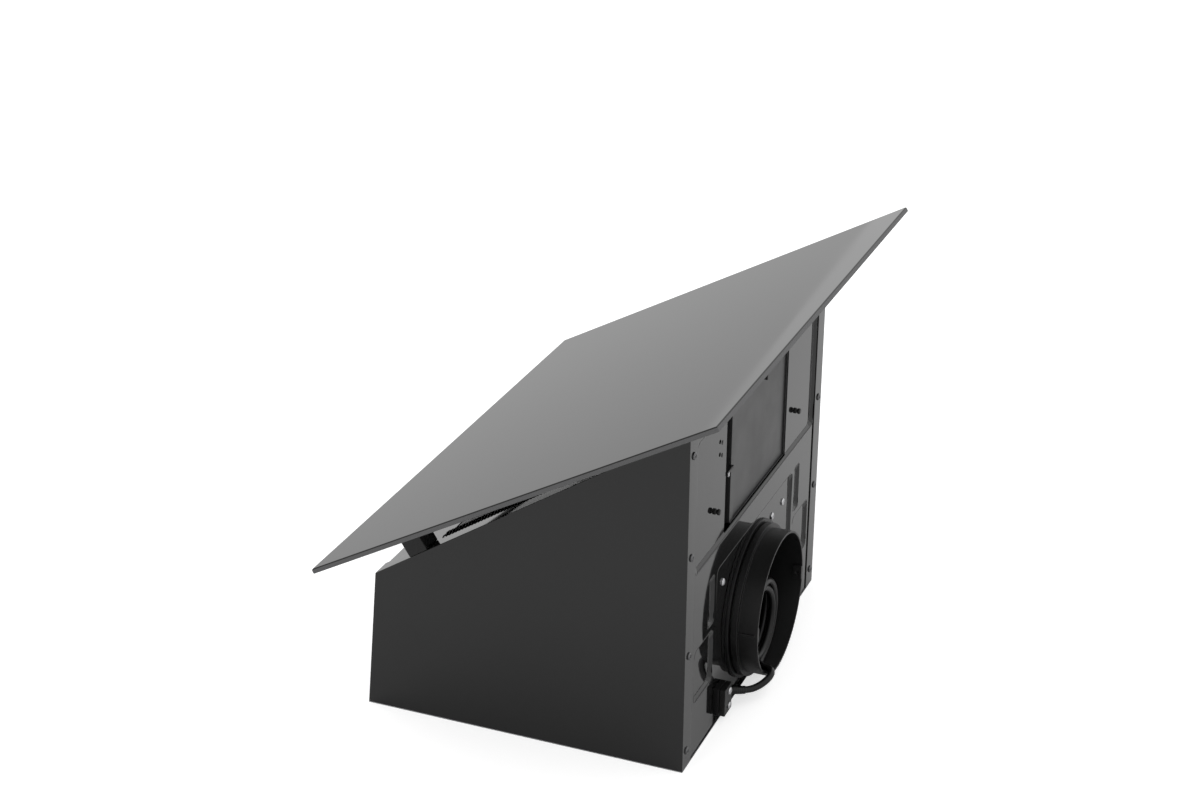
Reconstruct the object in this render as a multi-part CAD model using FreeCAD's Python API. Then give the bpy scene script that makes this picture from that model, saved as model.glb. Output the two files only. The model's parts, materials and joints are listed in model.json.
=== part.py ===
import FreeCAD, Part
import math
import os

V = FreeCAD.Vector

# Inclined wall hood lying on its wall side.
# x runs across the hood, y from the lamp end to the duct end, z away from the wall.
# All lengths are millimetres, all angles degrees.

# Casing
casing_w = 412.0        # over the two side panels
casing_len = 330.5      # foot of the lamp face to the duct face
low_h = 147.2           # height of the lamp end
low_lean = 12.5         # how far the lamp face leans back over that height
high_h = 352.0          # height of the duct end
sheet_t = 1.0           # steel sheet
flange_w = 22.0         # side panel flanges
seam_gap = 0.3          # between sheets that end beside each other
wall_hole_r = 4.0
wall_hole_x = 120.0     # half spacing of the wall screws
wall_hole_inset = 20.0  # wall screws from the ends of the wall plate
keyhole_x = 160.0
keyhole_inset = 32.0
keyhole_r = 6.0
keyhole_slot_w = 6.0
keyhole_slot_len = 12.0
keyhole_sides = 12

# Glass panel
panel_w = 600.0
panel_len = 444.6
panel_t = 5.0
panel_overhang = 76.0   # past the top corner of the casing
gap_low = 44.0          # slope to glass underside at the lamp end
gap_high = 18.0         # slope to glass underside at the duct end
panel_edge_r = 1.0      # ground edge
carrier_t = 1.5
carrier_side = 46.0     # from the side panels
carrier_top = 14.0      # from the pivot axis
carrier_hem = 6.0
carrier_inset = 24.0    # from the low glass edge
board_w = 120.0
board_len = 44.0
board_h = 8.0
board_gap = 10.0        # from the top hem of the carrier

# Panel hinge and catch
pivot_back = 8.0        # pivot axis from the top corner, along the slope
pivot_h = 9.0           # pivot axis above the slope
pin_r = 3.0
pin_clear = 0.05
lug_r = 6.0
hinge_len = 108.0
hinge_w = 18.0
hinge_t = 1.5
hinge_lip = 5.0
pin_head_r = 4.5
pin_head_t = 1.5
ear_gap = 0.6
foot_len = 44.0
foot_w = 14.0
hinge_in = 0.5          # from the edge of the side flange
leaf_in = 12.0          # strap leaf past the strap rail
leaf_out = 16.0
post_s = 45.0           # catch post from the low corner, along the slope
post_len = 22.0
post_w = 24.0
post_wall = 2.5
post_spare = 10.0       # stock above the glass before the top is cut
catch_t = 2.0
catch_gap = 0.4

# Grease filter
filter_w = 330.0
filter_len = 222.0
filter_s = 78.0         # low edge of the filter along the slope
filter_t = 9.5
filter_gap = 1.0
filter_rim = 13.0
rim_skin = 1.0
groove = 6.0
pleat = 13.0
mesh_t = 2.4
ledge_w = 6.0
latch_w = 30.0
latch_t = 2.0
latch_gap = 0.3
latch_reach = 5.0
latch_tab_h = 9.0
cup_w = 60.0
cup_len = 38.0
cup_wall = 2.0

# Duct end plate
margin = 1.5            # stamped fields from the flanges
step_d = 2.5            # depth of a stamped field
step_run = 4.0          # width of the sloping wall of a field
step_r = 7.0            # corner radius of a field
corner_steps = 2        # flats in a field's corner
field_low = 197.0       # upper field
field_top_gap = 14.0
well_half = 117.5       # field around the spigot, open at the foot
well_high = 172.0
rib_side = 6.5          # rib between the well and the side fields
side_field_half = 141.5
side_field_low = 120.0
wide_field_half = 177.0
wide_field_low = 57.0
wide_field_high = 114.0
cover_half = 94.0
cover_low = 200.0
cover_high = 322.0
cover_depth = 9.0
cover_gap = 0.5
cover_lip = 9.0
clip_x = -19.0          # clip at the top of the outlet cover
clip_z = 260.0          # clip at its side
clip_w = 14.0
clip_long = 8.0
clip_t = 3.0
clip_hold = 4.0         # over the edge of the opening
peg_x = 124.0
peg_z = 237.0
peg_r = 3.0
peg_out = 6.0
screw_r = 2.0
screw_head_r = 3.8
screw_head_h = 2.0
screw_len = 5.0
screw_sides = 8         # small screws, pegs and their holes are faceted
inner_sides = 24        # and so are round parts inside the casing
lamp_sides = 32
hole_gap = 0.1
side_screw_inset = 10.5
side_screw_low = 19.0
side_screw_high = 326.0
side_screw_count = 4

# Duct spigot
spigot_r = 73.5
spigot_wall = 2.2
spigot_out = 27.5       # past the duct face
spigot_in = 2.5         # behind its flange, through the sheet
collar_w = 7.7          # flange around the spigot
collar_t = 3.0
ring_w = 4.5            # stop ring for the duct
ring_t = 6.0
groove_w = 2.0
tab_h = 15.0
tab_depth = 9.0
tab_in = 3.0
tab_hole_r = 2.0
rib_w = 3.0
rib_h = 1.6
duct_screw_reach = 32.0 # spigot screws outside the flange
duct_screw_deg = 34.7
boss_reach = 5.5
boss_deg = 132.0

# Blower
wheel_r = 80.0
wheel_in_r = 66.0
blade_count = 30
blade_t = 1.4
wheel_gap = 8.0         # wheel to housing floor and cover
ring_h = 2.5
hub_r = 12.0
hub_h = 22.0
scroll_start = 92.0
scroll_end = 135.0
scroll_y = 155.0
out_half = 68.0
housing_half_h = 70.0
housing_t = 2.0
inlet_r = 68.0
inlet_lip = 6.0
outlet_gap = 0.5        # housing outlet to the spigot's inner end
foot_w_half = 6.0       # square feet of the housing
motor_r = 44.0
motor_h = 56.0
motor_flange_half = 46.0
motor_flange_t = 3.0
shaft_r = 4.0
shaft_clear = 0.05
shaft_in = 12.0         # in the motor
shaft_end_gap = 0.5
disc_gap = 3.0          # motor to wheel disc
disc_lap = 3.0          # disc past the inner ends of the blades
ring_lap = 2.0
blade_lean = 5.0        # outer end of a blade ahead of its inner end
blade_sag = 2.6         # bow of a blade off its chord
blade_inset = 0.4
nut_r = 8.0
nut_h = 7.0
nut_sides = 6

# Lamps
lamp_x = 120.0
lamp_z = 76.0
lamp_r = 28.0
bezel_r = 33.0
bezel_t = 1.5
glow_r = 25.0           # clear opening of the bezel
lens_gap = 0.2
lamp_depth = 20.0
lamp_wall = 1.5

# Electrical boxes
box_side_gap = 36.0     # from the side panel
box_end_gap = 35.5      # from the duct end plate
box_gap = 16.0          # from the blower housing
box_len = 98.0
box_h = 46.0
box_wall = 2.0
lid_in = 3.0
cap_r = 16.0
cap_len = 62.0
cap_deg = 118.4         # place around the blower housing
cap_gap = 13.9          # from the blower housing

# Cable clamp and cord
cord_r = 3.5
clamp_x = 100.0
clamp_z = 23.0
clamp_w = 20.0
clamp_h = 29.0
clamp_half_t = 6.0
clamp_split = 0.3
clamp_screw_gap = 8.2
clamp_screw_x = -3.0    # from the middle of the clamp
coil_pitch = 7.75
coil_turns = 3
coil_outer = 45.5
coil_layer = 8.0
coil_x = 4.0
coil_z = 61.2
coil_front = 18.0       # front layer past the duct face
plug_r = 18.0
plug_len = 44.0
plug_pin_r = 2.4
plug_pin_len = 19.0
plug_pin_gap = 9.5
plug_neck = 0.62        # of the plug radius
plug_sides = 12
plug_x = -32.0
plug_depth = 31.5       # plug behind the duct face
plug_gap = 0.4
cord_sides = 5          # faceted cord

# ---------------------------------------------------------------- derived frames
slope_rise = high_h - low_h
slope_run = casing_len - low_lean
slope_len = math.hypot(slope_rise, slope_run)
slope_deg = math.degrees(math.atan2(slope_rise, slope_run))
wedge_deg = math.degrees(math.asin((gap_low - gap_high) / slope_len))
panel_deg = slope_deg - wedge_deg
lean_deg = math.degrees(math.atan2(low_lean, low_h))
lean_len = math.hypot(low_lean, low_h)
half_w = casing_w / 2
inner_half = half_w - sheet_t - seam_gap
plate_y = casing_len - sheet_t        # outer face of the duct end plate
well_depth = filter_t + filter_gap / 2
carrier_half_w = half_w - carrier_side
seat_y = plate_y - step_d             # floor of the stamped fields
collar_r = spigot_r + collar_w
ring_r = spigot_r + ring_w
spigot_z = sheet_t + seam_gap + collar_r
scroll_x = out_half - scroll_end
housing_low = spigot_z - housing_half_h
housing_high = spigot_z + housing_half_h
housing_out = seat_y - spigot_in - outlet_gap
box_x = out_half + housing_t + box_gap
box_w = half_w - box_side_gap - box_x
box_y = plate_y - box_end_gap - box_len

panel_normal = V(0, -math.sin(math.radians(panel_deg)), math.cos(math.radians(panel_deg)))
slope_frame_at = FreeCAD.Placement(V(0, low_lean, low_h), FreeCAD.Rotation(V(1, 0, 0), slope_deg))
panel_frame_at = FreeCAD.Placement(
    V(0, low_lean, low_h) + panel_normal * gap_low, FreeCAD.Rotation(V(1, 0, 0), panel_deg))
lamp_frame_at = FreeCAD.Placement(V(0, 0, 0), FreeCAD.Rotation(V(1, 0, 0), -lean_deg))

panel_high = slope_len * math.cos(math.radians(wedge_deg)) + panel_overhang
panel_low = panel_high - panel_len
glass_front = panel_frame_at.multVec(V(0, panel_low, panel_t - panel_edge_r)).y
glass_back = panel_frame_at.multVec(V(0, panel_high, 0)).y
centre_y = (min(glass_front, 0) + max(glass_back, casing_len + spigot_out)) / 2


# ---------------------------------------------------------------- helpers
def placed(shape, placement):
    result = shape.copy()
    result.Placement = placement.multiply(result.Placement)
    return result


def box(x0, x1, y0, y1, z0, z1):
    return Part.makeBox(x1 - x0, y1 - y0, z1 - z0, V(x0, y0, z0))


def rod(at, axis, r, length):
    return Part.makeCylinder(r, length, at, axis)


def mirrored(shape):
    return shape.mirror(V(0, 0, 0), V(1, 0, 0))


def both_sides(shape):
    return Part.makeCompound([shape, mirrored(shape)])


def on_panel(s, h):
    # slope coordinates (distance up the slope, height above it) in the panel's own frame
    c = math.cos(math.radians(wedge_deg))
    d = math.sin(math.radians(wedge_deg))
    return V(0, s * c - h * d, s * d + h * c - gap_low)


def many_sided(at, axis, r, sides):
    turn = FreeCAD.Rotation(V(0, 0, 1), axis)
    steps = [2 * math.pi * i / sides for i in range(sides)]
    ring = [at + turn.multVec(V(r * math.cos(a), r * math.sin(a), 0)) for a in steps]
    return Part.makePolygon(ring + [ring[0]])


def prism(at, axis, r, length, sides):
    return Part.Face(many_sided(at, axis, r, sides)).extrude(axis * length)


def prism_tube(at, axis, outer, inner, length, sides):
    return prism(at, axis, outer, length, sides).cut(prism(at - axis, axis, inner, length + 2, sides))


def frustum(low, high):
    # solid between two outlines with the same number of corners and parallel sides
    a = [v.Point for v in low.OrderedVertexes]
    b = [v.Point for v in high.OrderedVertexes]
    faces = [Part.Face(low), Part.Face(high)]
    for i in range(len(a)):
        j = (i + 1) % len(a)
        faces.append(Part.Face(Part.makePolygon([a[i], a[j], b[j], b[i], a[i]])))
    solid = Part.Solid(Part.Shell(faces))
    return solid if solid.Volume > 0 else solid.reversed()


def rounded_rect(x0, x1, z0, z1, r, y):
    # each corner is a quarter circle in a few flats
    centres = [(x1 - r, z1 - r), (x0 + r, z1 - r), (x0 + r, z0 + r), (x1 - r, z0 + r)]
    pts = []
    for quarter, (x, z) in enumerate(centres):
        for i in range(corner_steps + 1):
            a = math.pi / 2 * (quarter + i / corner_steps)
            pts.append(V(x + r * math.cos(a), y, z + r * math.sin(a)))
    return Part.makePolygon(pts + [pts[0]])


def pocket(x0, x1, z0, z1, y, grow):
    # stamped field with sloping walls: wide at y, one step run smaller at its floor
    r = min(step_r, 0.4 * (min(x1 - x0, z1 - z0) - 2 * step_run))
    run = step_run - grow
    lip = rounded_rect(x0 - grow, x1 + grow, z0 - grow, z1 + grow, r, y)
    floor = rounded_rect(x0 + run, x1 - run, z0 + run, z1 - run, r, y - step_d)
    return frustum(lip, floor)


def screw(at, axis):
    head = prism(at, axis, screw_head_r, screw_head_h, screw_sides)
    return head.fuse(prism(at, axis * -1, screw_r, screw_len, screw_sides))


def screw_hole(at, axis, length):
    return prism(at, axis, screw_r + hole_gap, length, screw_sides)


# ---------------------------------------------------------------- casing
def side_panel():
    foot = low_lean * sheet_t / low_h
    pts = [
        V(0, foot, sheet_t), V(0, low_lean, low_h),
        V(0, casing_len, high_h), V(0, casing_len, sheet_t)]
    outline = Part.makePolygon(pts + [pts[0]])
    inside = outline.makeOffset2D(-sheet_t, 2)
    pan = Part.Face(outline).extrude(V(flange_w, 0, 0))
    hollow = Part.Face(inside).extrude(V(flange_w, 0, 0))
    hollow.translate(V(-sheet_t, 0, 0))
    pan = pan.cut(hollow)
    pan.translate(V(half_w - flange_w, 0, 0))
    for z in side_screw_heights():
        at = V(half_w - side_screw_inset, casing_len + 1, z)
        pan = pan.cut(screw_hole(at, V(0, -1, 0), sheet_t + 2))
    return pan


def side_screw_heights():
    step = (side_screw_high - side_screw_low) / (side_screw_count - 1)
    return [side_screw_low + i * step for i in range(side_screw_count)]


def wall_holes():
    ys = [wall_hole_inset, casing_len - wall_hole_inset]
    return [(x, y) for x in (-wall_hole_x, wall_hole_x) for y in ys]


def wall_plate():
    plate = box(-half_w, half_w, 0, casing_len, 0, sheet_t)
    for x, y in wall_holes():
        plate = plate.cut(rod(V(x, y, -1), V(0, 0, 1), wall_hole_r, 3))
    for x in (-keyhole_x, keyhole_x):
        y = casing_len - keyhole_inset
        low = V(x, y - keyhole_slot_len, -1)
        plate = plate.cut(prism(low, V(0, 0, 1), keyhole_r, sheet_t + 2, keyhole_sides))
        half = keyhole_slot_w / 2
        plate = plate.cut(box(x - half, x + half, y - keyhole_slot_len, y, -1, sheet_t + 1))
    return plate


def plate_back():
    return seat_y - 3 * sheet_t


def duct_plate_top():
    # the top edge stays under the slope frame over the whole depth of the stampings
    tilt = math.radians(slope_deg)
    drop = (2 * sheet_t + seam_gap) / math.cos(tilt)
    return high_h - drop - (casing_len - plate_back()) * math.tan(tilt)


def fields():
    # left, right, low and high edges of the stamped fields
    half = half_w - flange_w - margin
    inner = well_half + rib_side
    result = [
        (-half, half, field_low, duct_plate_top() - field_top_gap),
        (-well_half, well_half, -2 * step_r, well_high)]
    for side in (-1, 1):
        near = sorted((side * inner, side * side_field_half))
        wide = sorted((side * inner, side * wide_field_half))
        result.append((*near, side_field_low, well_high))
        result.append((*wide, wide_field_low, wide_field_high))
    return result


def stamped_body(shift, grow, spare):
    # solid behind the front skin of the duct plate, moved back by shift
    y = plate_y - shift
    half = inner_half + spare
    foot = 2 * sheet_t + seam_gap - spare
    body = box(-half, half, plate_back() - spare, y, foot, duct_plate_top() + spare)
    for x0, x1, z0, z1 in fields():
        body = body.cut(pocket(x0, x1, z0, z1, y, grow))
    return body


def duct_plate():
    back = plate_back()
    deep = plate_y + 1 - back
    plate = stamped_body(0, 0, 0).cut(stamped_body(sheet_t, sheet_t / 2, sheet_t))
    plate = plate.cut(box(-cover_half, cover_half, back - 1, plate_y + 1, cover_low, cover_high))
    plate = plate.cut(rod(V(0, back - 1, spigot_z), V(0, 1, 0), spigot_r, deep + 1))
    for x, z in plate_holes():
        plate = plate.cut(screw_hole(V(x, back - 1, z), V(0, 1, 0), deep + 1))
    for x in (-peg_x, peg_x):
        plate = plate.cut(prism(V(x, back - 1, peg_z), V(0, 1, 0), peg_r, deep + 1, screw_sides))
    return plate


def spigot_screw_spots():
    # two screws at the upper corners of the flange and one at its boss
    upper = [(duct_screw_reach, deg) for deg in (duct_screw_deg, 180 - duct_screw_deg)]
    spots = upper + [(boss_reach, boss_deg)]
    result = []
    for reach, deg in spots:
        a = math.radians(deg)
        r = collar_r + reach
        result.append((r * math.cos(a), spigot_z + r * math.sin(a)))
    return result


def plate_holes():
    side = half_w - side_screw_inset
    holes = [(s * side, z) for s in (-1, 1) for z in side_screw_heights()]
    return holes + spigot_screw_spots()


def slope_frame():
    # tray under the slope flanges with a stepped well that carries the grease filter
    half = filter_w / 2 + filter_gap
    s0 = filter_s - filter_gap
    s1 = filter_s + filter_len + filter_gap
    h0 = -sheet_t - well_depth
    t = sheet_t
    plate = box(-inner_half, inner_half, 2 * t, slope_len - 3 * t, -2 * t, -t)
    well = box(-half - t, half + t, s0 - t, s1 + t, h0 - t, -t)
    frame = plate.fuse(well)
    frame = frame.cut(box(-half, half, s0, s1, h0, 0))
    frame = frame.cut(box(
        -half + ledge_w, half - ledge_w, s0 + ledge_w, s1 - ledge_w, h0 - 2 * t, h0 + 1))
    slot = latch_w / 2 + latch_gap
    low = h0 + cup_wall
    frame = frame.cut(box(-slot, slot, s0 - 2 * t, s0 + 1, low, low + latch_t + 2 * latch_gap))
    return placed(frame, slope_frame_at)


def lamp_plate():
    t = sheet_t
    plate = box(-inner_half, inner_half, t, 2 * t, 3 * t, lean_len - 3 * t)
    for x in (-lamp_x, lamp_x):
        plate = plate.cut(prism(V(x, 0, lamp_z), V(0, 1, 0), lamp_r, 3 * sheet_t, lamp_sides))
    return placed(plate, lamp_frame_at)


def lamp_bezel():
    at = V(lamp_x, sheet_t - bezel_t, lamp_z)
    rim = prism_tube(at, V(0, 1, 0), bezel_r, glow_r, bezel_t, lamp_sides)
    return placed(rim, lamp_frame_at)


def lamp_lens():
    # fills the hole of the lamp plate, between the bezel and the can
    at = V(lamp_x, sheet_t, lamp_z)
    lens = prism(at, V(0, 1, 0), lamp_r - lens_gap, sheet_t, lamp_sides)
    return placed(lens, lamp_frame_at)


def lamp_can():
    at = V(lamp_x, 2 * sheet_t, lamp_z)
    can = prism(at, V(0, 1, 0), lamp_r + lamp_wall, lamp_depth, inner_sides)
    return placed(can, lamp_frame_at)


def outlet_cover():
    # folded tray behind the rectangular opening of the duct plate
    t = sheet_t
    front = seat_y - t
    x = cover_half - cover_gap
    z0 = cover_low + cover_gap
    z1 = cover_high - cover_gap
    deep = front - cover_depth
    tray = box(-x, x, deep - t, front, z0, z1)
    lips = box(-x - cover_lip, x + cover_lip, front - t, front, z0, z1)
    hollow = box(-x + t, x - t, deep, front + 1, z0 + t, z1 - t)
    return tray.fuse(lips).cut(hollow)


def cover_clips():
    # one hooks over the top edge of the opening, one over its side
    top = box(clip_x - clip_w / 2, clip_x + clip_w / 2, seat_y, seat_y + clip_t,
              cover_high - clip_hold, cover_high + clip_t)
    side = box(cover_half - clip_hold, cover_half + clip_t, seat_y, seat_y + clip_t,
               clip_z - clip_long / 2, clip_z + clip_long / 2)
    return Part.makeCompound([top, side])


def locating_peg():
    y = seat_y - 3 * sheet_t
    return prism(V(peg_x, y, peg_z), V(0, 1, 0), peg_r, seat_y + peg_out - y, screw_sides)


def side_screws():
    x = half_w - side_screw_inset
    right = [screw(V(x, casing_len, z), V(0, 1, 0)) for z in side_screw_heights()]
    return Part.makeCompound(right + [mirrored(s) for s in right])


def spigot_screws():
    spots = [V(x, spigot_screw_y(x, z), z) for x, z in spigot_screw_spots()]
    return Part.makeCompound([screw(at, V(0, 1, 0)) for at in spots])


def spigot_screw_y(x, z):
    in_well = abs(x) < well_half - step_run and z < well_high - step_run
    return seat_y if in_well else plate_y


# ---------------------------------------------------------------- spigot and cable clamp
def duct_spigot():
    tip = casing_len + spigot_out
    inner = spigot_r - spigot_wall
    flange = seat_y + collar_t
    ring = flange + groove_w
    r_y = [
        (inner, seat_y - spigot_in), (spigot_r, seat_y - spigot_in), (spigot_r, seat_y),
        (collar_r, seat_y), (collar_r, flange), (spigot_r, flange), (spigot_r, ring),
        (ring_r, ring), (ring_r, ring + ring_t), (spigot_r, ring + ring_t), (spigot_r, tip),
        (inner, tip)]
    pts = [V(r, y, 0) for r, y in r_y]
    body = Part.Face(Part.makePolygon(pts + [pts[0]])).revolve(V(0, 0, 0), V(0, 1, 0), 360)
    lap = spigot_wall / 2
    for side in (-1, 1):
        x0, x1 = sorted((side * (inner - tab_in), side * (inner + lap)))
        tab = box(x0, x1, tip - tab_depth, tip, -tab_h / 2, tab_h / 2)
        hole_at = V(side * (inner - tab_in - 1), tip - tab_depth / 2, 0)
        tab = tab.cut(prism(hole_at, V(side, 0, 0), tab_hole_r, tab_in, screw_sides))
        x0, x1 = sorted((side * (spigot_r - lap), side * (spigot_r + rib_h)))
        rib = box(x0, x1, ring + ring_t / 2, tip - tab_in, -rib_w / 2, rib_w / 2)
        body = body.fuse([tab, rib])
    body.translate(V(0, 0, spigot_z))
    return body


def clamp_block(y0, y1):
    return box(clamp_x - clamp_w / 2, clamp_x + clamp_w / 2, y0, y1,
               clamp_z - clamp_h / 2, clamp_z + clamp_h / 2)


def cord_axis_y():
    return seat_y + clamp_half_t


def clamp_screw_spots():
    return [(clamp_x + clamp_screw_x, clamp_z + s * clamp_screw_gap) for s in (-1, 1)]


def cable_clamp():
    body = clamp_block(seat_y, seat_y + 2 * clamp_half_t)
    groove_at = V(clamp_x - clamp_w, cord_axis_y(), clamp_z)
    body = body.cut(prism(groove_at, V(1, 0, 0), cord_r, 1.5 * clamp_w + clamp_screw_x, cord_sides))
    body = body.cut(clamp_block(cord_axis_y() - clamp_split, cord_axis_y() + clamp_split))
    for x, z in clamp_screw_spots():
        at = V(x, seat_y + clamp_half_t / 2, z)
        body = body.cut(screw_hole(at, V(0, 1, 0), 2 * clamp_half_t))
    return body


def clamp_screws():
    y = seat_y + 2 * clamp_half_t
    return Part.makeCompound([screw(V(x, y, z), V(0, 1, 0)) for x, z in clamp_screw_spots()])


# ---------------------------------------------------------------- blower
def scroll_point(deg, grow):
    r = scroll_start + (scroll_end - scroll_start) * (deg - 90) / 270 + grow
    a = math.radians(deg)
    return V(scroll_x + r * math.cos(a), scroll_y + r * math.sin(a), 0)


def scroll_face(grow, y_end):
    # spiral wall that widens over three quarters of a turn into a straight outlet
    half = out_half + grow
    turns = [90 + 45 * k for k in range(7)]
    ends = [scroll_point(a, grow) for a in turns]
    ends[0] = V(-half, ends[0].y, 0)
    edges = [Part.LineSegment(V(-half, y_end, 0), ends[0]).toShape()]
    for k in range(6):
        edges.append(Part.Arc(ends[k], scroll_point(turns[k] + 22.5, grow), ends[k + 1]).toShape())
    edges.append(Part.LineSegment(ends[6], V(half, y_end, 0)).toShape())
    edges.append(Part.LineSegment(V(half, y_end, 0), V(-half, y_end, 0)).toShape())
    return Part.Face(Part.Wire(edges))


def blower_housing():
    t = housing_t
    body = scroll_face(t, housing_out).extrude(V(0, 0, housing_high - housing_low + t))
    body.translate(V(0, 0, housing_low - t))
    hollow = scroll_face(0, housing_out + 5).extrude(V(0, 0, housing_high - housing_low + 5))
    hollow.translate(V(0, 0, housing_low))
    body = body.cut(hollow)
    w = foot_w_half
    spots = [(scroll_x - wheel_r, scroll_y), (out_half - w, scroll_y),
             (scroll_x, scroll_y - wheel_r), (0, housing_out - 2 * w)]
    feet = [box(x - w, x + w, y - w, y + w, sheet_t, housing_low - t) for x, y in spots]
    return body.fuse(feet)


def housing_cover():
    t = housing_t
    plate = scroll_face(t, housing_out).extrude(V(0, 0, t))
    plate.translate(V(0, 0, housing_high))
    eye = V(scroll_x, scroll_y, housing_high)
    plate = plate.fuse(prism(eye, V(0, 0, 1), inlet_r + t, inlet_lip, inner_sides))
    return plate.cut(prism(eye - V(0, 0, 1), V(0, 0, 1), inlet_r, inlet_lip + 2, inner_sides))


def wheel_low():
    return housing_low + wheel_gap


def wheel_high():
    return housing_high - wheel_gap


def blade():
    # forward curved blade: two flats of constant thickness, bowed off the chord
    # The rings and the disc have one flat for each blade.
    outer_x = wheel_r - blade_inset
    bow = V((wheel_in_r + outer_x) / 2, blade_lean / 2 - blade_sag, 0)
    line = [V(wheel_in_r, 0, 0), bow, V(outer_x, blade_lean, 0)]
    back = [p + V(0, blade_t, 0) for p in reversed(line)]
    outline = Part.makePolygon(line + back + [line[0]])
    return Part.Face(outline).extrude(V(0, 0, wheel_high() - wheel_low() - ring_h))


def impeller():
    z0 = wheel_low()
    z1 = wheel_high()
    up = V(0, 0, 1)
    ring_in = wheel_in_r - ring_lap
    disc_z = motor_top() + disc_gap
    n = blade_count
    parts = [prism_tube(V(0, 0, z), up, wheel_r, ring_in, ring_h, n) for z in (z0, z1 - ring_h)]
    parts.append(prism(V(0, 0, disc_z), up, wheel_in_r + disc_lap, ring_h, n))
    parts.append(prism(V(0, 0, disc_z), up, hub_r, hub_h, inner_sides))
    for i in range(blade_count):
        b = blade()
        b.translate(V(0, 0, z0 + ring_h / 2))
        b.rotate(V(0, 0, 0), up, 360.0 * i / blade_count)
        parts.append(b)
    wheel = parts[0].fuse(parts[1:])
    wheel = wheel.cut(rod(V(0, 0, disc_z - 1), up, shaft_r, hub_h + 2))
    wheel.translate(V(scroll_x, scroll_y, 0))
    return wheel


def motor_top():
    return housing_low + motor_flange_t + motor_h


def motor():
    up = V(0, 0, 1)
    at = V(scroll_x, scroll_y, housing_low)
    w = motor_flange_half
    flange = box(at.x - w, at.x + w, at.y - w, at.y + w, at.z, at.z + motor_flange_t)
    body = flange.fuse(prism(at, up, motor_r, motor_flange_t + motor_h, inner_sides))
    return body.cut(rod(at + up * shaft_in, up, shaft_r + shaft_clear, motor_h))


def motor_shaft():
    top = nut_z() + nut_h + disc_gap
    base = housing_low + shaft_in + shaft_end_gap
    return rod(V(scroll_x, scroll_y, base), V(0, 0, 1), shaft_r, top - base)


def nut_z():
    return motor_top() + disc_gap + hub_h


def impeller_nut():
    at = V(scroll_x, scroll_y, nut_z())
    nut = prism(at, V(0, 0, 1), nut_r, nut_h, nut_sides)
    return nut.cut(rod(at - V(0, 0, 1), V(0, 0, 1), shaft_r, nut_h + 2))


# ---------------------------------------------------------------- electrical boxes
def control_box():
    z0 = sheet_t
    body = box(box_x, box_x + box_w, box_y, box_y + box_len, z0, z0 + box_h)
    w = box_wall
    return body.cut(box(box_x + w, box_x + box_w - w, box_y + w, box_y + box_len - w,
                        z0 + w, z0 + box_h + 1))


def control_lid():
    z0 = sheet_t + box_h
    w = box_wall
    lid = box(box_x, box_x + box_w, box_y, box_y + box_len, z0, z0 + w)
    plug_in = box(box_x + w, box_x + box_w - w, box_y + w, box_y + box_len - w, z0 - lid_in, z0)
    return lid.fuse(plug_in)


def capacitor():
    at = scroll_point(cap_deg, housing_t + cap_gap + cap_r) + V(0, 0, sheet_t)
    return prism(at, V(0, 0, 1), cap_r, cap_len, inner_sides)


# ---------------------------------------------------------------- panel body
def glass_panel():
    slab = box(-panel_w / 2, panel_w / 2, panel_low, panel_high, 0, panel_t)
    edges = [e for e in slab.Edges if abs(e.CenterOfMass.z - panel_t) < 1e-6]
    return placed(slab.makeChamfer(panel_edge_r, edges), panel_frame_at)


def panel_carrier():
    s0 = panel_low + carrier_inset
    s1 = on_panel(pivot_s() - carrier_top, 0).y
    t = carrier_t
    w = carrier_half_w
    tray = box(-w, w, s0, s1, -carrier_hem, 0)
    return placed(tray.cut(box(-w + t, w - t, s0 + t, s1 - t, -carrier_hem - 1, -t)), panel_frame_at)


def touch_board():
    s1 = on_panel(pivot_s() - carrier_top - board_gap, 0).y
    body = box(-board_w / 2, board_w / 2, s1 - board_len, s1, -carrier_t - board_h, -carrier_t)
    return placed(body, panel_frame_at)


def pivot_s():
    return slope_len - pivot_back


def hinge_x():
    return half_w - flange_w + hinge_in


def lug(x, y, low, high, axis_z):
    # plate across the pivot axis with cut corners at its far end
    r = lug_r
    k = r * (2 - math.sqrt(2))
    near, far = (low, high) if abs(high - axis_z) <= abs(low - axis_z) else (high, low)
    back = k if far > near else -k
    pts = [V(x, y - r, near), V(x, y - r, far - back), V(x, y - r + k, far),
           V(x, y + r - k, far), V(x, y + r, far - back), V(x, y + r, near)]
    return Part.Face(Part.makePolygon(pts + [pts[0]])).extrude(V(hinge_t, 0, 0))


def hinge_bracket():
    x0 = hinge_x()
    s0 = pivot_s() - hinge_len
    base = box(x0, x0 + hinge_w, s0, slope_len - 1, 0, hinge_t)
    foot = box(x0 - foot_w, x0 + 1, s0, s0 + foot_len, 0, hinge_t)
    lip = box(x0, x0 + hinge_t, s0, pivot_s(), 0, hinge_lip)
    body = base.fuse([foot, lip, lug(x0, pivot_s(), 0, pivot_h + lug_r, pivot_h)])
    body = body.cut(rod(V(x0 - 1, pivot_s(), pivot_h), V(1, 0, 0), pin_r, hinge_t + 2))
    return placed(body, slope_frame_at)


def strap_x():
    return hinge_x() + hinge_t + ear_gap


def hinge_pin():
    x0 = hinge_x() - pin_head_t
    x1 = strap_x() + hinge_t + ear_gap
    at = V(x0, pivot_s(), pivot_h)
    along = V(1, 0, 0)
    body = rod(at, along, pin_r, x1 - x0 + pin_head_t)
    for x in (x0, x1):
        body = body.fuse(prism(V(x, pivot_s(), pivot_h), along, pin_head_r, pin_head_t, screw_sides))
    return placed(body, slope_frame_at)


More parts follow.
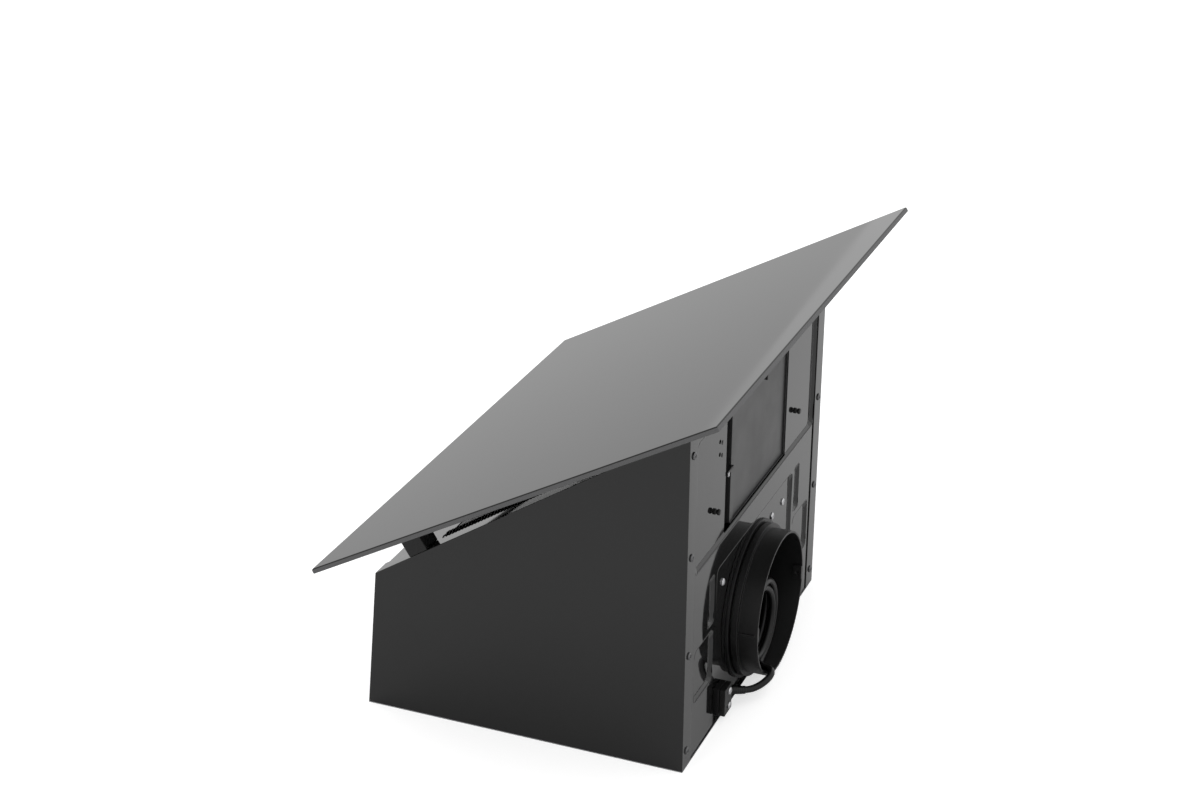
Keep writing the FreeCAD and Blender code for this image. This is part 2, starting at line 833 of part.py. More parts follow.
def hinge_strap():
    x0 = strap_x()
    at = on_panel(pivot_s(), pivot_h)
    low = on_panel(pivot_s() - hinge_len, 0).y
    leaf = box(x0 - leaf_in, x0 + leaf_out, low, at.y + lug_r, -hinge_t, 0)
    rail = box(x0, x0 + hinge_t, low, at.y + lug_r, -hinge_lip, 0)
    body = leaf.fuse([rail, lug(x0, at.y, 0, at.z - lug_r, at.z)])
    hole = rod(V(x0 - 1, at.y, at.z), V(1, 0, 0), pin_r + pin_clear, hinge_t + 2)
    return placed(body.cut(hole), panel_frame_at)


def catch_post():
    x1 = half_w
    tall = gap_low + post_spare
    post = box(x1 - post_w, x1, post_s, post_s + post_len, 0, tall)
    w = post_wall
    post = post.cut(box(x1 - post_w + w, x1 - w, post_s + w, post_s + post_len - w, -1, tall))
    post = placed(post, slope_frame_at)
    over = box(0, panel_w, -gap_low, panel_high, -catch_t - catch_gap, tall)
    return post.cut(placed(over, panel_frame_at))


def catch_plate():
    x1 = half_w
    mid = on_panel(post_s + post_len / 2, gap_low).y
    plate = box(x1 - post_w, x1, mid - post_len / 2, mid + post_len / 2, -catch_t, 0)
    return placed(plate, panel_frame_at)


# ---------------------------------------------------------------- grease filter
def filter_base():
    return -sheet_t - well_depth


def latch_base():
    return filter_base() + cup_wall + latch_gap


def filter_frame():
    half = filter_w / 2
    s0 = filter_s
    s1 = filter_s + filter_len
    h0 = filter_base()
    h1 = h0 + filter_t
    rim = filter_rim
    body = box(-half, half, s0, s1, h0, h1)
    body = body.cut(box(-half + rim, half - rim, s0 + rim, s1 - rim, h0 - 1, h1 + 1))
    deep = rim - groove
    body = body.cut(box(
        -half + deep, half - deep, s0 + deep, s1 - deep, h0 + rim_skin, h1 - rim_skin))
    slot = latch_w / 2 + latch_gap
    low = latch_base() - latch_gap
    body = body.cut(box(-slot, slot, s0 - 1, s0 + rim + 1, low, low + latch_t + 2 * latch_gap))
    return placed(body, slope_frame_at)


def filter_mesh():
    # pleated pad of expanded metal held in the groove of the frame
    deep = filter_rim - groove
    s0 = filter_s + deep
    s1 = filter_s + filter_len - deep
    h0 = filter_base() + rim_skin
    rise = filter_t - 2 * rim_skin - mesh_t
    count = max(2, round((s1 - s0) / pleat))
    step = (s1 - s0) / count
    low = []
    for i in range(count):
        low.append(V(0, s0 + i * step, h0))
        low.append(V(0, s0 + (i + 0.5) * step, h0 + rise))
    low.append(V(0, s1, h0))
    high = [p + V(0, 0, mesh_t) for p in reversed(low)]
    half = filter_w / 2 - deep
    pad = Part.Face(Part.makePolygon(low + high + [low[0]])).extrude(V(2 * half, 0, 0))
    pad.translate(V(-half, 0, 0))
    end = filter_s + filter_rim + cup_len
    pad = pad.cut(box(-cup_w / 2, cup_w / 2, s0 - 1, end, h0 - 1, h0 + filter_t))
    return placed(pad, slope_frame_at)


def latch_cup():
    s0 = filter_s + filter_rim
    h0 = filter_base()
    half = cup_w / 2
    w = cup_wall
    body = box(-half, half, s0, s0 + cup_len, h0, h0 + filter_t)
    body = body.cut(box(-half + w, half - w, s0 + w, s0 + cup_len - w, h0 + w, h0 + filter_t + 1))
    slot = latch_w / 2 + latch_gap
    low = latch_base() - latch_gap
    body = body.cut(box(-slot, slot, s0 - 1, s0 + w + 1, low, low + latch_t + 2 * latch_gap))
    return placed(body, slope_frame_at)


def filter_latch():
    s0 = filter_s - latch_reach
    tab = filter_s + filter_rim + cup_len / 3
    h0 = latch_base()
    half = latch_w / 2
    body = box(-half, half, s0, tab + 8, h0, h0 + latch_t)
    body = body.fuse(box(-half, half, tab, tab + latch_t, h0, h0 + latch_tab_h))
    return placed(body, slope_frame_at)


# ---------------------------------------------------------------- cord
def cord_route(points):
    # straight runs joined by tangent arcs as large as the two runs allow
    edges = []
    radii = []
    start = points[0]
    for i in range(1, len(points) - 1):
        p = points[i]
        a = p - points[i - 1]
        b = points[i + 1] - p
        back = 0.45 * min(a.Length, b.Length)
        a.normalize()
        b.normalize()
        turn = a.getAngle(b)
        first = p - a * back
        last = p + b * back
        radius = back / math.tan(turn / 2)
        inward = b - a
        inward.normalize()
        middle = p + inward * (radius / math.cos(turn / 2) - radius)
        edges.append(Part.LineSegment(start, first).toShape())
        edges.append(Part.Arc(first, middle, last).toShape())
        radii.append(round(radius, 1))
        start = last
    edges.append(Part.LineSegment(start, points[-1]).toShape())
    return Part.Wire(edges), radii


def cord_tube(name, wire, direction):
    first = wire.Edges[0].Vertexes[0].Point
    profile = many_sided(first, direction, cord_r, cord_sides)
    solid = wire.makePipeShell([profile], True, False)
    ideal = cord_sides / 2 * math.sin(2 * math.pi / cord_sides) * cord_r ** 2 * wire.Length
    print(name, "length", round(wire.Length), "volume ratio", round(solid.Volume / ideal, 4))
    return solid


def lead_points():
    d = casing_len
    y = cord_axis_y()
    x = clamp_x - clamp_w / 2
    bottom = coil_z - coil_outer
    return [
        V(x, y, clamp_z), V(x - 8, y, clamp_z), V(72, d + 12.5, 18.5), V(62.5, d + 21, 16.5),
        V(53, d + 28, 18.5), V(42, d + 33, 22.5), V(32, d + 32, 24), V(22, d + 25.5, 20),
        V(coil_x + 8.5, d + coil_front, bottom), V(coil_x, d + coil_front, bottom)]


def tail_points():
    d = casing_len
    bottom = coil_z - coil_outer
    y = d + coil_front - coil_layer
    end = plug_axis()
    return [
        V(coil_x, y, bottom), V(coil_x - 12, y, bottom), V(-20.5, d + 6, 18.5), V(-29, d - 3.5, 23.5),
        V(plug_x, d - 15.5, 28.5), V(plug_x, d - 23.5, end.z), end]


def plug_axis():
    return V(plug_x, casing_len - plug_depth, housing_low + plug_r + plug_gap)


def coil_point(turn):
    # distance along the coil in turns: spiral in, climb back one layer, spiral out
    half = coil_turns / 2
    t = min(turn, coil_turns - turn)
    r = coil_outer - coil_pitch * t
    blend = min(max((turn - half + 0.25) / 0.5, 0), 1)
    y = casing_len + coil_front - coil_layer * (3 * blend ** 2 - 2 * blend ** 3)
    a = 2 * math.pi * turn
    return V(coil_x - r * math.sin(a), y, coil_z - r * math.cos(a))


def coil_tangent(turn):
    h = 1e-4
    if turn < h or turn > coil_turns - h:
        return V(-1, 0, 0)
    if abs(turn - coil_turns / 2) < h:
        half = coil_turns / 2
        ahead = coil_point(half + h) - coil_point(half)
        behind = coil_point(half) - coil_point(half - h)
        d = ahead + behind
    else:
        d = coil_point(turn + h) - coil_point(turn - h)
    d.normalize()
    return d


def arc_from(start, tangent, end):
    chord = end - start
    side = chord - tangent * chord.dot(tangent)
    if side.Length < 1e-7:
        return Part.LineSegment(start, end).toShape()
    side.normalize()
    radius = chord.dot(chord) / (2 * chord.dot(side))
    centre = start + side * radius
    out = (start + end) * 0.5 - centre
    out.normalize()
    return Part.Arc(start, centre + out * radius, end).toShape()


def biarc(p0, t0, p1, t1):
    v = p1 - p0
    s = t0 + t1
    a = 2 * (t0.dot(t1) - 1)
    b = -2 * v.dot(s)
    c = v.dot(v)
    d = c / (2 * v.dot(s)) if abs(a) < 1e-9 else (-b - math.sqrt(b * b - 4 * a * c)) / (2 * a)
    mid = (p0 + t0 * d + p1 - t1 * d) * 0.5
    return [arc_from(p0, t0, mid), arc_from(p1, t1 * -1, mid)]


def coil_wire():
    edges = []
    steps = 4 * coil_turns
    for i in range(steps):
        a = i / 4
        b = (i + 1) / 4
        edges += biarc(coil_point(a), coil_tangent(a), coil_point(b), coil_tangent(b))
    return Part.Wire(Part.sortEdges(edges)[0])


def coil_least_gap():
    n = 60
    pts = [coil_point(i / n) for i in range(coil_turns * n + 1)]
    least = 1e9
    for i, p in enumerate(pts):
        for q in pts[i + n // 2:]:
            least = min(least, (p - q).Length)
    return least - 2 * cord_r


def cord_coil():
    wire = coil_wire()
    print("coil gap to itself", round(coil_least_gap(), 2))
    return cord_tube("coil", wire, V(-1, 0, 0))


def cord_lead():
    wire, radii = cord_route(lead_points())
    print("lead radii", radii)
    return cord_tube("lead", wire, V(-1, 0, 0))


def cord_tail():
    wire, radii = cord_route(tail_points())
    print("tail radii", radii)
    return cord_tube("tail", wire, V(-1, 0, 0))


def plug():
    at = plug_axis()
    back = V(0, -1, 0)
    waist = at + back * (plug_len * plug_neck)
    grip = frustum(many_sided(at, back, plug_r * plug_neck, plug_sides),
                   many_sided(waist, back, plug_r, plug_sides))
    body = grip.fuse(prism(waist, back, plug_r, plug_len * (1 - plug_neck), plug_sides))
    for s in (-1, 1):
        pin_at = at + V(s * plug_pin_gap, -plug_len, 0)
        body = body.fuse(prism(pin_at, back, plug_pin_r, plug_pin_len, screw_sides))
    return body


# ---------------------------------------------------------------- nodes
def nodes():
    side = side_panel()
    hinge = hinge_bracket()
    strap = hinge_strap()
    return {
        "side_panel_right": side,
        "side_panel_left": mirrored(side),
        "wall_plate": wall_plate(),
        "duct_plate": duct_plate(),
        "slope_frame": slope_frame(),
        "lamp_plate": lamp_plate(),
        "lamp_bezels": both_sides(lamp_bezel()),
        "lamp_lenses": both_sides(lamp_lens()),
        "lamp_cans": both_sides(lamp_can()),
        "outlet_cover": outlet_cover(),
        "cover_clips": cover_clips(),
        "locating_pegs": both_sides(locating_peg()),
        "side_screws": side_screws(),
        "spigot_screws": spigot_screws(),
        "duct_spigot": duct_spigot(),
        "cable_clamp": cable_clamp(),
        "clamp_screws": clamp_screws(),
        "blower_housing": blower_housing(),
        "housing_cover": housing_cover(),
        "motor": motor(),
        "motor_shaft": motor_shaft(),
        "impeller": impeller(),
        "impeller_nut": impeller_nut(),
        "control_box": control_box(),
        "control_lid": control_lid(),
        "capacitor": capacitor(),
        "glass_panel": glass_panel(),
        "panel_carrier": panel_carrier(),
        "touch_board": touch_board(),
        "hinge_bracket_right": hinge,
        "hinge_bracket_left": mirrored(hinge),
        "hinge_pins": both_sides(hinge_pin()),
        "hinge_strap_right": strap,
        "hinge_strap_left": mirrored(strap),
        "catch_posts": both_sides(catch_post()),
        "catch_plates": both_sides(catch_plate()),
        "filter_frame": filter_frame(),
        "filter_mesh": filter_mesh(),
        "latch_cup": latch_cup(),
        "filter_latch": filter_latch(),
        "cord_lead": cord_lead(),
        "cord_coil": cord_coil(),
        "cord_tail": cord_tail(),
        "plug": plug(),
    }


os.makedirs("parts", exist_ok=True)
for name, shape in nodes().items():
    moved = shape.copy()
    moved.translate(V(0, -centre_y, 0))
    if not moved.isValid():
        print("not valid", name)
    moved.exportStep("parts/" + name + ".step")
print("shift", round(centre_y, 3), "slope", round(slope_deg, 3), "panel", round(panel_deg, 3))
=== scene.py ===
"""Inclined wall hood on its wall side: materials, cord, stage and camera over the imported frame."""
import json
import math

import bmesh
import bpy
from mathutils import Matrix, Vector


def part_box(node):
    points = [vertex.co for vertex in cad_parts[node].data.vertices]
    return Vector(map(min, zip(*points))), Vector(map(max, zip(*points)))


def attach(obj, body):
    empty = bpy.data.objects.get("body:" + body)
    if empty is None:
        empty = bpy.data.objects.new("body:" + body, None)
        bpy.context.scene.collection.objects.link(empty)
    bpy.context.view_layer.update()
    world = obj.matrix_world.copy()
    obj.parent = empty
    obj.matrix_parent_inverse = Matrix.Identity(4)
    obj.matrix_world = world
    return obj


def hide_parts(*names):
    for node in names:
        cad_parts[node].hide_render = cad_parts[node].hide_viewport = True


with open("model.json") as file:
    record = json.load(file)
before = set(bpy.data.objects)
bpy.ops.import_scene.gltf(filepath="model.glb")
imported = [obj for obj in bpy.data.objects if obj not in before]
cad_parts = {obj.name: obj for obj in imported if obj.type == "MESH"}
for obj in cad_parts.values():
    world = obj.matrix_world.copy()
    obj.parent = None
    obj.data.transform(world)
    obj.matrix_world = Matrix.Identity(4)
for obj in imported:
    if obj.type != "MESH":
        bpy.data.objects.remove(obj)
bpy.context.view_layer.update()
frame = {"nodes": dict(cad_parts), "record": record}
nodes = frame["nodes"]

# Camera of the photograph, solved from the corners of the casing and the glass
IMAGE_WIDTH = 1200
FOCAL_PX = 2266.5
SENSOR = 36.0
CAMERA_AT = Vector((1.9130, 0.7361, 1.1882))
AZIMUTH = 1.95215
ELEVATION = 0.41875
ROLL = 0.00764

# The hood's plan origin, from the foot of the lamp face, and the places the cord keeps to
CENTRE_Y = 0.192699
DUCT_Y = 0.3305 - CENTRE_Y
CORD_R = 0.0035
RELIEF_R = 0.0054
RELIEF_LEN = 0.026
COIL_X = 0.006
COIL_Z = 0.0612
COIL_OUTER = 0.0455
COIL_PITCH = 0.00775
COIL_LAYER = 0.008
COIL_FRONT = 0.010
COIL_TURNS = 3
POINTS_PER_TURN = 16

EDGE_R = 0.0006
FLOOR = 0.74
FLOOR_GLOW = 0.6
FLOOR_GLINT = 0.06
WELD = 0.00001
SLOPE = math.radians(32.783)
SCREW_R = 0.002
SCREW_HEAD_R = 0.0038
SCREW_HEAD_H = 0.002
NOISE_LOW, NOISE_HIGH = 0.3, 0.7        # most of a noise lies between these
FLOOR_HALF = 14.0
VIEW_FAR = 60.0

# Outlet tray and its clips: lowest and highest corners in the casing's millimetres
TRAY_BOXES = (
    ((-92, 323.5, 201.5), (74, 324.5, 317.5)),
    ((-93.5, 323.5, 200.6), (-92, 326, 317.5)),
    ((-92, 323.5, 200.6), (74, 326, 201.5)),
    ((64, 324.5, 201.5), (74, 325.3, 317.5)),
    ((-102.5, 325, 200.6), (-93.5, 326, 317.5)),
    ((-93.5, 316, 200.6), (-92, 323.5, 317.5)),
    ((72.5, 316, 200.6), (74, 323.5, 317.5)))
DARK, METAL = 0, 1
CLIP_BOXES = (
    ((-25, 327, 319), (-13, 329.4, 325), DARK),
    ((-22, 324, 314.5), (-16, 330, 321), DARK),
    ((-20.5, 329, 322), (-17.5, 330.4, 327.5), DARK),
    ((71, 325.3, 258.4), (88, 327.4, 261.6), DARK),
    ((88, 327.2, 257.8), (91, 328.9, 262.2), METAL))

# Rims of the stamped fields, and the plugs in the upper one, in the casing's millimetres
FIELD_HALF = 182.5
FIELD_LOW, FIELD_HIGH = 197, 331.1
WELL_HALF, WELL_HIGH = 117.5, 172
SIDE_NEAR, SIDE_FAR, SIDE_LOW = 124, 141.5, 120
WIDE_FAR, WIDE_LOW, WIDE_HIGH = 177, 57, 114
WELL_FOOT = 4
FIELD_R = 7
CORNER_STEP = 15
RIM_Y = 329.5 - 0.75
RIM_R = 0.001
HOLE_X, HOLE_Y, HOLE_ZS = 110, 327.9, (289, 302)

# Slope: its low corner in y and z, the filter pad's base under it and the pad's pleats along it
SLOPE_FOOT = (12.5, 147.2)
PAD_BASE = -11
PLEAT_START, PLEAT_LENGTH, PLEAT_LOW, PLEAT_RISE = 85, 13, 3.6, 5.1
STRAND = 0.0009
CUP_HOLE = (35, 132)

# Plug in millimetres: radius and distance from the cord's end, then a pin's from the plug's face
PLUG_BODY = (
    (0, 0), (6, 0), (7.2, 4), (7.2, 6), (9.5, 9), (12.5, 14), (16.5, 24), (17.8, 29), (17.8, 35),
    (16.6, 36.2), (16.6, 38.4), (17.8, 39.6), (17.8, 42.8), (16.6, 44), (0, 44))
PLUG_PIN = ((0, -1), (2.4, -1), (2.4, 17), (1.4, 19), (0, 19))
PIN_X = 0.0095
PLUG_FACE = 0.044
RELIEF_WALL = 0.0005
RIDGE = 0.0005


# ---------------------------------------------------------------- node material helpers
def new_material(name):
    material = bpy.data.materials.new(name)
    material.use_nodes = True
    tree = material.node_tree
    shader = tree.nodes["Principled BSDF"]
    return material, tree, shader


def coordinates(tree, scale=(1, 1, 1)):
    source = tree.nodes.new("ShaderNodeTexCoord")
    mapping = tree.nodes.new("ShaderNodeMapping")
    mapping.inputs["Scale"].default_value = scale
    tree.links.new(source.outputs["Object"], mapping.inputs["Vector"])
    return mapping.outputs["Vector"]


def noise(tree, scale, detail=3.0, stretch=(1, 1, 1)):
    texture = tree.nodes.new("ShaderNodeTexNoise")
    texture.inputs["Scale"].default_value = scale
    texture.inputs["Detail"].default_value = detail
    tree.links.new(coordinates(tree, stretch), texture.inputs["Vector"])
    return texture.outputs["Fac"]


def ranged(tree, value, low, high):
    node = tree.nodes.new("ShaderNodeMapRange")
    node.inputs["From Min"].default_value = NOISE_LOW
    node.inputs["From Max"].default_value = NOISE_HIGH
    node.inputs["To Min"].default_value = low
    node.inputs["To Max"].default_value = high
    tree.links.new(value, node.inputs["Value"])
    return node.outputs["Result"]


def bumped(tree, shader, height, distance):
    """Fine relief over edges that are rounded by the edge radius."""
    rounding = tree.nodes.new("ShaderNodeBevel")
    rounding.samples = 4
    rounding.inputs["Radius"].default_value = EDGE_R
    bump = tree.nodes.new("ShaderNodeBump")
    bump.inputs["Distance"].default_value = distance
    tree.links.new(rounding.outputs["Normal"], bump.inputs["Normal"])
    tree.links.new(height, bump.inputs["Height"])
    tree.links.new(bump.outputs["Normal"], shader.inputs["Normal"])


def shaded(tree, value, dark, light):
    ramp = tree.nodes.new("ShaderNodeMix")
    ramp.data_type = "RGBA"
    ramp.inputs["A"].default_value = (*dark, 1)
    ramp.inputs["B"].default_value = (*light, 1)
    tree.links.new(value, ramp.inputs["Factor"])
    return ramp.outputs["Result"]


def surface(name, dark, light, rough, grain, bump=0.0, metallic=0.0, ior=1.5, stretch=(1, 1, 1)):
    """A finish whose colour and roughness drift with a noise of the given grain, with its bump."""
    material, tree, shader = new_material(name)
    field = noise(tree, grain, 4.0, stretch)
    tree.links.new(shaded(tree, field, dark, light), shader.inputs["Base Color"])
    tree.links.new(ranged(tree, field, rough[0], rough[1]), shader.inputs["Roughness"])
    shader.inputs["Metallic"].default_value = metallic
    shader.inputs["IOR"].default_value = ior
    if bump:
        bumped(tree, shader, field, bump)
    return material


def grey(value):
    return (value, value, value * 1.02)


# ---------------------------------------------------------------- materials
def powder_coat():
    """Semi-gloss black coat: smooth, with the faint long waves of sprayed paint."""
    material, tree, shader = new_material("black_coat")
    waves = noise(tree, 9.0, 2.0)
    tree.links.new(ranged(tree, waves, 0.03, 0.06), shader.inputs["Roughness"])
    tree.links.new(shaded(tree, waves, grey(0.004), grey(0.007)), shader.inputs["Base Color"])
    shader.inputs["IOR"].default_value = 1.52
    bumped(tree, shader, noise(tree, 60.0, 2.0), 0.000012)
    return material


def black_glass():
    material, tree, shader = new_material("black_glass")
    drift = noise(tree, 4.0, 2.0)
    tree.links.new(shaded(tree, drift, grey(0.004), grey(0.007)), shader.inputs["Base Color"])
    shader.inputs["IOR"].default_value = 1.38
    tree.links.new(ranged(tree, drift, 0.02, 0.05), shader.inputs["Roughness"])
    return material


def expanded_mesh():
    """Layers of expanded aluminium: a diamond net of bright strands over dark gaps, the gaps painted
    near black as painted shade where the holes are.
    """
    material, tree, shader = new_material("expanded_mesh")
    waves = []
    for angle in (math.radians(32), math.radians(-32)):
        source = tree.nodes.new("ShaderNodeTexCoord")
        mapping = tree.nodes.new("ShaderNodeMapping")
        mapping.inputs["Rotation"].default_value = (0, 0, angle)
        tree.links.new(source.outputs["Object"], mapping.inputs["Vector"])
        wave = tree.nodes.new("ShaderNodeTexWave")
        wave.inputs["Scale"].default_value = 70.0
        wave.inputs["Distortion"].default_value = 0.6
        tree.links.new(mapping.outputs["Vector"], wave.inputs["Vector"])
        waves.append(wave.outputs["Fac"])
    strands = tree.nodes.new("ShaderNodeMath")
    strands.operation = "MAXIMUM"
    tree.links.new(waves[0], strands.inputs[0])
    tree.links.new(waves[1], strands.inputs[1])
    # painted shade: the near-black colour between the strands stands for the shade seen through the
    # holes of the net
    tree.links.new(shaded(tree, strands.outputs[0], (0.01, 0.01, 0.01), (0.5, 0.5, 0.5)),
                   shader.inputs["Base Color"])
    shader.inputs["Metallic"].default_value = 0.8
    shader.inputs["Roughness"].default_value = 0.38
    bumped(tree, shader, strands.outputs[0], 0.0008)
    return material


def frosted_lens():
    material, tree, shader = new_material("frosted_lens")
    rings = noise(tree, 240.0, 2.0)
    tree.links.new(ranged(tree, rings, 0.35, 0.5), shader.inputs["Roughness"])
    shader.inputs["Base Color"].default_value = (0.78, 0.79, 0.8, 1)
    shader.inputs["Transmission Weight"].default_value = 0.5
    bumped(tree, shader, rings, 0.0002)
    return material


def build_materials():
    return {
        "coat": powder_coat(),
        "glass": black_glass(),
        "moulded": surface("moulded_plastic", grey(0.004), grey(0.008), (0.34, 0.46), 900, 0.00003,
                           ior=1.42),
        # cord jacket: black PVC, its colour made darker still as painted shade for the unlit inside of
        # the spigot; the plug and strain relief share it
        "pvc": surface("cord_jacket", grey(0.003), grey(0.006), (0.28, 0.38), 500, 0.00002, ior=1.36),
        "cover": surface("grey_sheet", grey(0.02), grey(0.028), (0.3, 0.38), 26, ior=1.36),
        "zinc": surface("zinc_plate", grey(0.52), grey(0.62), (0.24, 0.31), 380, 0.00001,
                        metallic=1.0),
        "steel": surface("galvanised", grey(0.38), grey(0.55), (0.3, 0.45), 34, metallic=1.0),
        "screw": surface("screw_steel", grey(0.1), grey(0.2), (0.25, 0.4), 200, metallic=1.0),
        "aluminium": surface("anodised", grey(0.6), grey(0.72), (0.25, 0.33), 22, metallic=1.0,
                             stretch=(1, 30, 30)),
        "filter_rim": surface("filter_rim", grey(0.1), grey(0.16), (0.36, 0.5), 240, 0.00001,
                              metallic=1.0),
        "mesh": expanded_mesh(),
        "wheel": surface("wheel_plastic", grey(0.02), grey(0.03), (0.4, 0.5), 300, 0.00002),
        "motor": surface("motor_can", grey(0.2), grey(0.3), (0.3, 0.45), 50, metallic=1.0),
        "capacitor": surface("capacitor_can", grey(0.6), grey(0.7), (0.35, 0.45), 80),
        "lens": frosted_lens(),
        "rim": surface("ground_rim", grey(0.075), grey(0.1), (0.45, 0.6), 700, 0.00003),
    }


NODE_FINISH = {
    "coat": ["side_panel_right", "side_panel_left", "duct_plate", "slope_frame", "lamp_plate",
             "panel_carrier"],
    "steel": ["wall_plate"],
    "cover": ["outlet_cover"],
    "moulded": ["duct_spigot", "cable_clamp", "blower_housing", "housing_cover", "control_box",
                "control_lid", "catch_posts", "locating_pegs", "touch_board", "cover_clips",
                "latch_cup", "lamp_cans"],
    "zinc": ["hinge_bracket_right", "hinge_bracket_left", "hinge_pins", "hinge_strap_right",
             "hinge_strap_left", "catch_plates", "motor_shaft", "impeller_nut", "filter_latch",
             "spigot_screws", "clamp_screws"],
    "screw": ["side_screws"],
    "glass": ["glass_panel"],
    "aluminium": ["lamp_bezels"],
    "filter_rim": ["filter_frame"],
    "mesh": ["filter_mesh"],
    "wheel": ["impeller"],
    "motor": ["motor"],
    "capacitor": ["capacitor"],
    "lens": ["lamp_lenses"],
}


def paint(obj, *materials):
    if obj.data.materials:
        obj.data.materials.clear()
    for material in materials:
        obj.data.materials.append(material)


# ---------------------------------------------------------------- piece helpers
def at(x, y, z):
    """Row-frame point from the casing's own millimetres, with y from the foot of the lamp face."""
    return Vector((x / 1000, y / 1000 - CENTRE_Y, z / 1000))


def add_piece(name, mesh, materials, body, replaced=()):
    piece = bpy.data.objects.new(name, mesh)
    bpy.context.scene.collection.objects.link(piece)
    paint(piece, *materials)
    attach(piece, body)
    if replaced:
        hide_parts(*replaced)
    return piece


def rounded_edges(piece, width, angle=28, segments=2):
    rounding = piece.modifiers.new("rounding", "BEVEL")
    rounding.width = width
    rounding.segments = segments
    rounding.limit_method = "ANGLE"
    rounding.angle_limit = math.radians(angle)
    piece.modifiers.new("shading", "WEIGHTED_NORMAL")


def finished(work, name):
    """A smooth-shaded mesh from a bmesh, with its normals outward."""
    bmesh.ops.recalc_face_normals(work, faces=work.faces[:])
    for face in work.faces:
        face.smooth = True
    mesh = bpy.data.meshes.new(name)
    work.to_mesh(mesh)
    work.free()
    return mesh


def evaluated_mesh(obj):
    """An object's mesh with its modifiers, or a curve's line."""
    bpy.context.view_layer.update()
    return bpy.data.meshes.new_from_object(obj.evaluated_get(bpy.context.evaluated_depsgraph_get()))


def joined_flats(name):
    """A bmesh of a node with its corners welded and its flat faces whole."""
    work = bmesh.new()
    work.from_mesh(nodes[name].data)
    work.transform(nodes[name].matrix_world)
    bmesh.ops.remove_doubles(work, verts=work.verts[:], dist=WELD)
    bmesh.ops.dissolve_limit(work, angle_limit=math.radians(1), verts=work.verts[:],
                             edges=work.edges[:])
    return work


def softened(name, width, finish, body, slot):
    """Stands for a node: the same piece with rounded edges."""
    mesh = finished(joined_flats(name), name)
    piece = add_piece(name + "_rounded", mesh, [finish], body, [name])
    rounded_edges(piece, width)
    return piece


def islands(name):
    """Lowest and highest corner of each separate solid of a node."""
    work = joined_flats(name)
    left = set(work.verts)
    found = []
    while left:
        stack = [left.pop()]
        group = list(stack)
        while stack:
            for edge in stack.pop().link_edges:
                for vert in edge.verts:
                    if vert in left:
                        left.remove(vert)
                        stack.append(vert)
                        group.append(vert)
        corners = [[op(v.co[i] for v in group) for i in range(3)] for op in (min, max)]
        found.append((Vector(corners[0]), Vector(corners[1])))
    work.free()
    return sorted(found, key=lambda box: tuple(box[0]))


def add_box(work, low, high, material=0):
    made = bmesh.ops.create_cube(work, size=1.0)["verts"]
    for vert in made:
        vert.co = Vector([low[i] + (vert.co[i] + 0.5) * (high[i] - low[i]) for i in range(3)])
    for face in {face for vert in made for face in vert.link_faces}:
        face.material_index = material


def add_lathe(work, base, axis, profile, sides, material=0):
    """Turned form: profile gives radius and distance along the axis from the base."""
    turn = axis.to_track_quat("Z", "Y")
    rings = []
    for radius, along in profile:
        if radius == 0:
            rings.append([work.verts.new(base + axis * along)])
            continue
        angles = [2 * math.pi * i / sides for i in range(sides)]
        ring = [Vector((radius * math.cos(a), radius * math.sin(a), along)) for a in angles]
        rings.append([work.verts.new(base + turn @ point) for point in ring])
    for lower, upper in zip(rings, rings[1:]):
        for i in range(sides):
            j = (i + 1) % sides
            corners = [lower[i % len(lower)], lower[j % len(lower)],
                       upper[j % len(upper)], upper[i % len(upper)]]
            face = work.faces.new(list(dict.fromkeys(corners)))
            face.material_index = material


def tube_mesh(name, points, radii, sides):
    """Round tube through points, with a radius at each, closed at both ends."""
    work = bmesh.new()
    rings = []
    for i, point in enumerate(points):
        ahead = points[min(i + 1, len(points) - 1)] - points[max(i - 1, 0)]
        side = ahead.cross(Vector((0, 0, 1))).normalized()
        over = side.cross(ahead).normalized()
        angles = [2 * math.pi * k / sides for k in range(sides)]
        rings.append([work.verts.new(point + (side * math.cos(a) + over * math.sin(a)) * radii[i])
                      for a in angles])
    for lower, upper in zip(rings, rings[1:]):
        for k in range(sides):
            n = (k + 1) % sides
            work.faces.new([lower[k], lower[n], upper[n], upper[k]])
    work.faces.new(rings[0])
    work.faces.new(rings[-1])
    return finished(work, name)


# ---------------------------------------------------------------- screws, pegs and clips
def crossed_head(head_r, head_h):
    """Pan head with a cross recess, standing on z = 0."""
    work = bmesh.new()
    profile = [(0, head_h), (0.5 * head_r, head_h), (0.82 * head_r, 0.8 * head_h),
               (head_r, 0.4 * head_h), (head_r, 0), (0, 0)]
    add_lathe(work, Vector((0, 0, 0)), Vector((0, 0, 1)), profile, 20)
    head = bpy.data.objects.new("head", finished(work, "head"))
    cut = bmesh.new()
    arm, half, floor = 0.55 * head_r, 0.13 * head_r, 0.35 * head_h
    add_box(cut, (-arm, -half, floor), (arm, half, 2 * head_h))
    cross = bpy.data.objects.new("cross", finished(cut, "cross"))
    turned = bpy.data.objects.new("turned", cross.data)
    turned.rotation_euler = (0, 0, math.pi / 2)
    for tool in (cross, turned):
        bpy.context.scene.collection.objects.link(tool)
        cutting = head.modifiers.new("recess", "BOOLEAN")
        cutting.object = tool
        cutting.operation = "DIFFERENCE"
    bpy.context.scene.collection.objects.link(head)
    mesh = evaluated_mesh(head)
    for tool in (head, cross, turned):
        bpy.data.objects.remove(tool)
    return mesh


